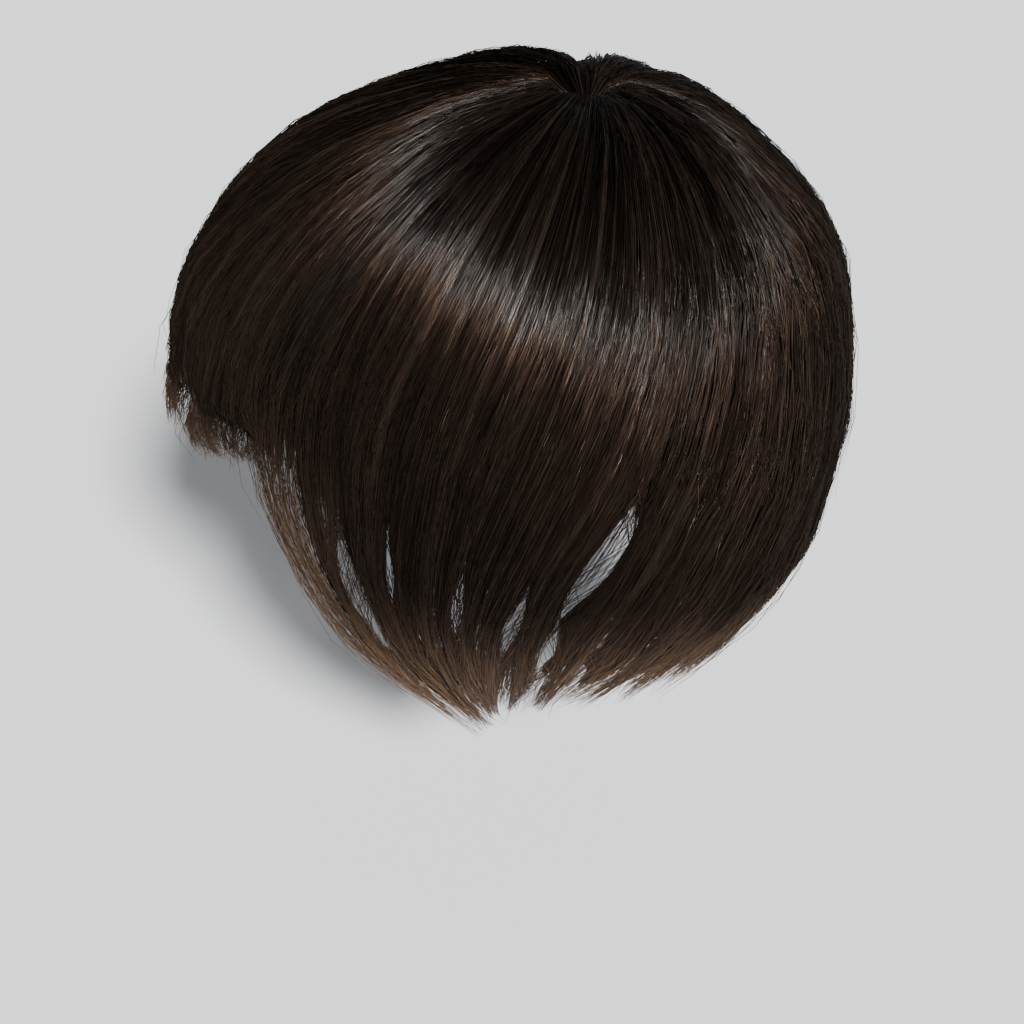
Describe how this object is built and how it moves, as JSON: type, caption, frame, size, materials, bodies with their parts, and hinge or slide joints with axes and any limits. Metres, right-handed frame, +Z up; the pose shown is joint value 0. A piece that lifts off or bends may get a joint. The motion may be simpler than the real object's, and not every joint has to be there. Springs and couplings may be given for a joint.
{
  "type": "toupee hairpiece",
  "caption": "Full-cap toupee of short straight dark brown hair that falls in locks from a whorl at the crown, over a thin skin base.",
  "frame": {"origin": "top of the head hollow: the inside of the base at the vertex of the head", "axes": "+Z up out of the head, the fringe faces -Y, the wearer's left is +X"},
  "size_m": [0.193, 0.2296, 0.2175],
  "materials": {
    "base_skin": "thin translucent skin with knotted hair",
    "hair": "straight glossy hair, lighter brown at the tips"
  },
  "bodies": {
    "root": {"base": "base_skin", "fringe_hair": "hair", "left_side_hair": "hair", "right_side_hair": "hair", "back_hair": "hair"}
  },
  "joints": []
}
